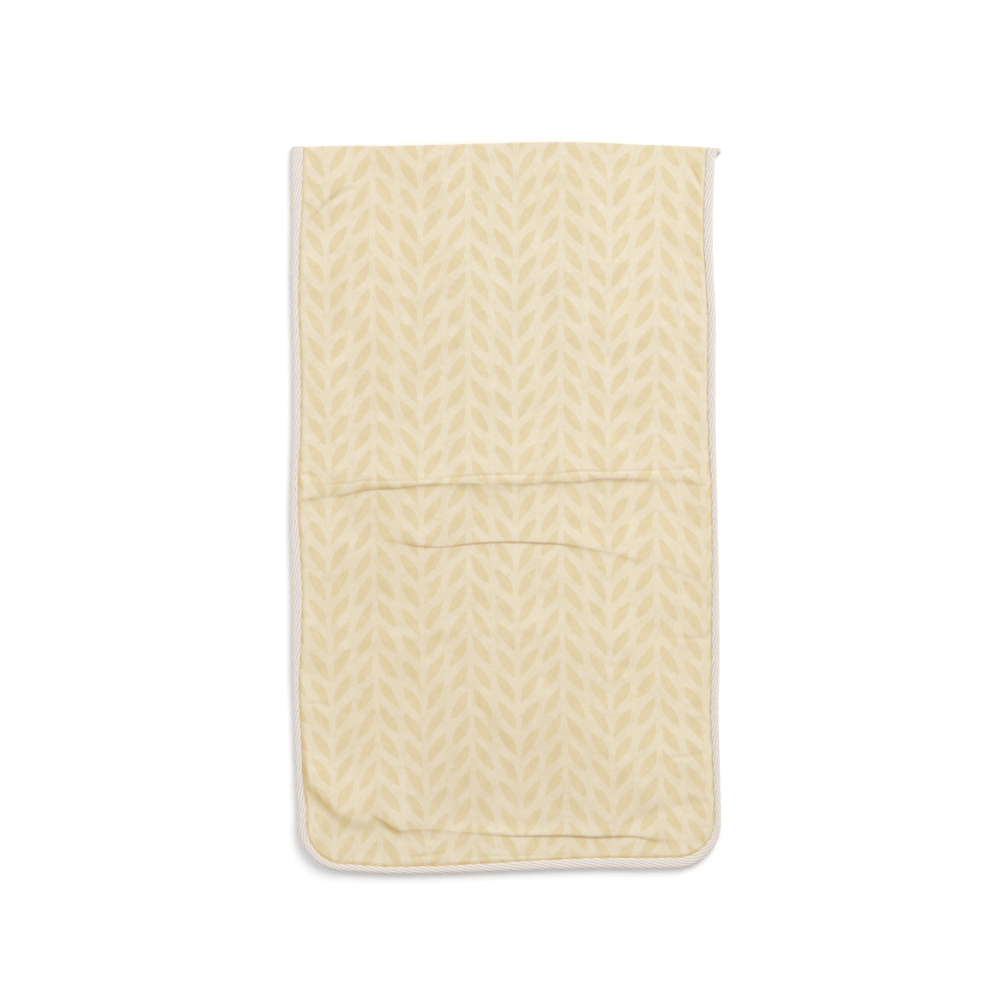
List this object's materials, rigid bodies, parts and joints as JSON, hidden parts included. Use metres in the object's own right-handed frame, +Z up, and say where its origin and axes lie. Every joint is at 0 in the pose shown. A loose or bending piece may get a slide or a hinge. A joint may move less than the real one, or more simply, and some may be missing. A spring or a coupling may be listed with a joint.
{
  "type": "bread bag",
  "caption": "Flat cloth bread bag with two panels, an open mouth at one end and a twill tape bound round the other edges, lying empty.",
  "frame": {"origin": "centre of the bag's box on the surface it lies on", "axes": "+Z up out of the surface, +Y along the bag towards its open mouth, +X across the bag to the right as seen from above with the mouth at the far side"},
  "size_m": [0.2543, 0.4325, 0.0122],
  "materials": {
    "front_print": "matt cotton with a pale leaf print",
    "back_print": "matt cotton with a pale leaf print",
    "twill_tape": "matt off-white twill"
  },
  "bodies": {
    "root": {"front_panel": "front_print", "back_panel": "back_print", "binding": "twill_tape"}
  },
  "joints": []
}
